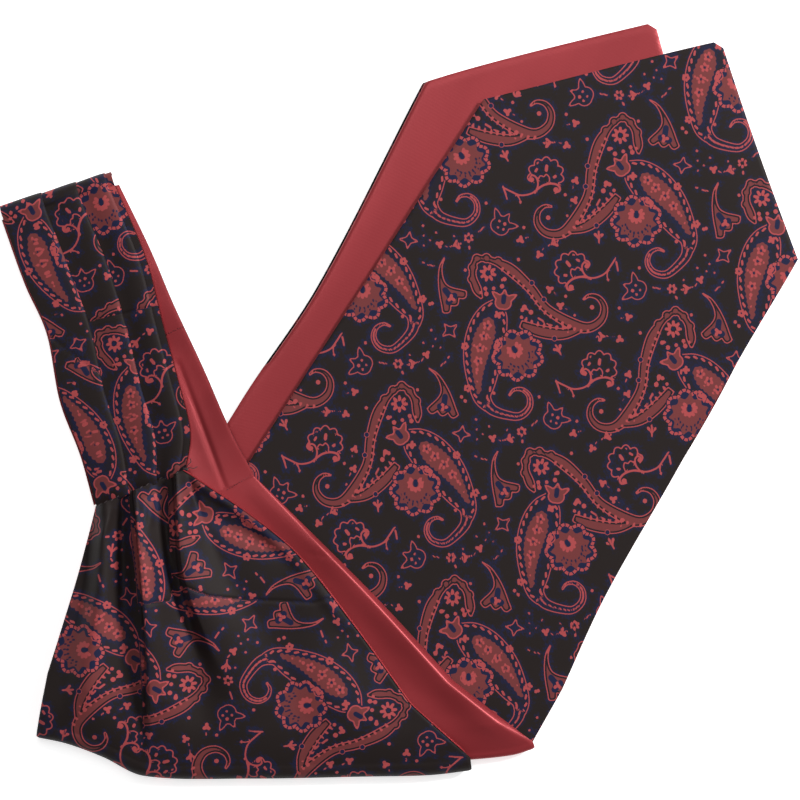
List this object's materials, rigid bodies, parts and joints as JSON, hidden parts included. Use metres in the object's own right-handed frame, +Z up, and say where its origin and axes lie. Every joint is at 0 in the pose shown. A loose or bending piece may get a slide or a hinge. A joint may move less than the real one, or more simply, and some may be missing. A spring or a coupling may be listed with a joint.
{
  "type": "silk cravat",
  "caption": "Pre-pleated silk cravat with a paisley face and a satin lining, folded flat with its pointed blades side by side.",
  "frame": {"origin": "centre of the box's underside, on the surface that the folded cravat lies on", "axes": "+X along the longest side, towards the pointed ends, +Y away from the bottom fold, +Z up from the surface"},
  "size_m": [0.327, 0.3104, 0.0144],
  "materials": {
    "patterned_silk": "woven jacquard, soft sheen",
    "red_satin": "satin"
  },
  "bodies": {
    "root": {"top_blade_shell": "patterned_silk", "top_blade_lining": "red_satin", "under_blade_shell": "patterned_silk", "under_blade_lining": "red_satin", "neck_band_front": "patterned_silk", "neck_band_back": "patterned_silk", "neck_band_lining": "red_satin", "folded_core": "patterned_silk"}
  },
  "joints": []
}
